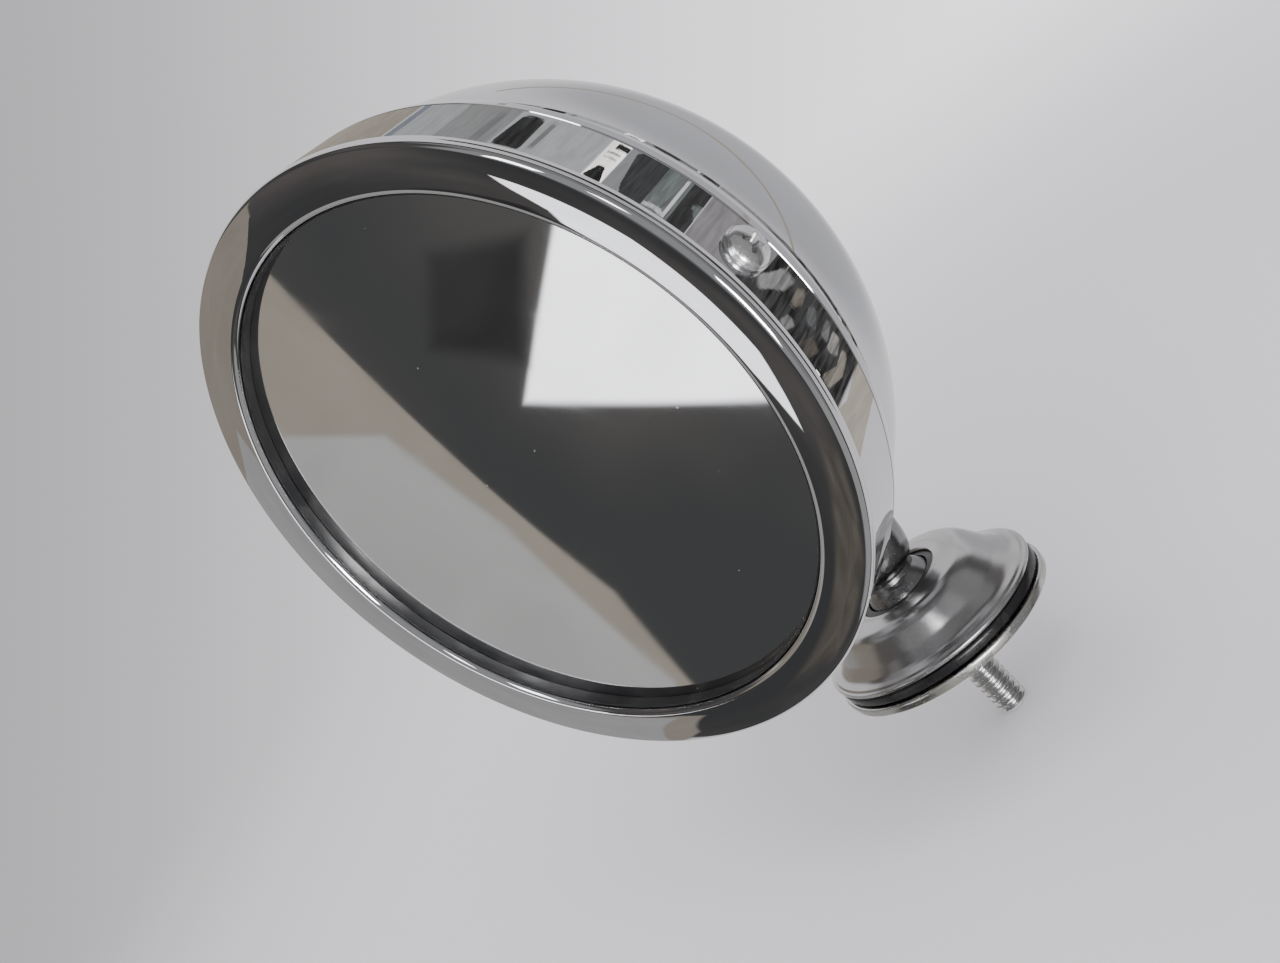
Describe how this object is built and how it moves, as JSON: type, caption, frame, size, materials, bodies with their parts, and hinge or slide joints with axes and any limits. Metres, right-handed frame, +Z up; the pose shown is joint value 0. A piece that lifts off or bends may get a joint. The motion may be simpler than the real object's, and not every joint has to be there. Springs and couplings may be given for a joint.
{
  "type": "round chrome vehicle door mirror",
  "caption": "Round chrome bowl-backed mirror with a slightly convex glass in a screwed bezel, on a ball-jointed pedestal with gasket, foot plate and threaded stud.",
  "frame": {"origin": "centre of the underside of the mounting plate, on the pedestal axis", "axes": "+Z up along the pedestal axis from the panel to the ball, -Y the way the glass faces, +X to the side that carries the rim screw"},
  "size_m": [0.1212, 0.0699, 0.1662],
  "materials": {
    "chrome_bowl": "bright chrome plate on spun steel, faint waviness",
    "chrome_bezel": "bright chrome plate on rolled sheet, a few fine pits",
    "chrome_screw": "bright plated screw, slightly worn",
    "chrome_casting": "bright chrome plate on a die casting, soft ripple",
    "mirror_glass": "silvered glass, very slightly convex",
    "black_rubber": "matt moulded rubber",
    "black_nylon": "moulded nylon, satin",
    "backing_foam": "compressed felt pad",
    "plated_steel": "bright zinc plate",
    "spring_steel": "dull spring steel"
  },
  "bodies": {
    "pedestal": {"pedestal_base": "chrome_casting", "ball_liner": "black_nylon", "base_gasket": "black_rubber", "mounting_plate": "plated_steel", "mounting_stud": "plated_steel", "plate_screw_left": "plated_steel", "plate_screw_right": "plated_steel"},
    "spring_carrier": {"spring_cup": "plated_steel", "wave_spring": "spring_steel"},
    "tilting_seat": {"ball_seat": "black_nylon"},
    "head": {"neck_stem": "chrome_casting", "housing_bowl": "chrome_bowl", "bezel_ring": "chrome_bezel", "mirror_glass": "mirror_glass", "glass_seal": "black_rubber", "backing_pad": "backing_foam", "backing_plate": "plated_steel", "spring_clip_1": "spring_steel", "spring_clip_2": "spring_steel", "spring_clip_3": "spring_steel", "rim_screw": "chrome_screw", "nut_clip": "spring_steel", "bezel_hook": "spring_steel", "hook_rivet": "plated_steel", "stem_bracket": "plated_steel", "stem_washer": "spring_steel", "stem_bolt": "plated_steel"}
  },
  "joints": [
    {"name": "swivel", "type": "hinge", "parent": "pedestal", "child": "spring_carrier", "pos_m": [0, 0, 0.0102], "axis": [0, 0, 1], "continuous": true},
    {"name": "tilt", "type": "hinge", "parent": "spring_carrier", "child": "tilting_seat", "pos_m": [0, 0, 0.0102], "axis": [1, 0, 0], "range_deg": [-11.7, 16.3]},
    {"name": "side_lean", "type": "hinge", "parent": "tilting_seat", "child": "head", "pos_m": [0, 0, 0.0102], "axis": [0, 0.9992, -0.0401], "range_deg": [-14, 14]}
  ]
}
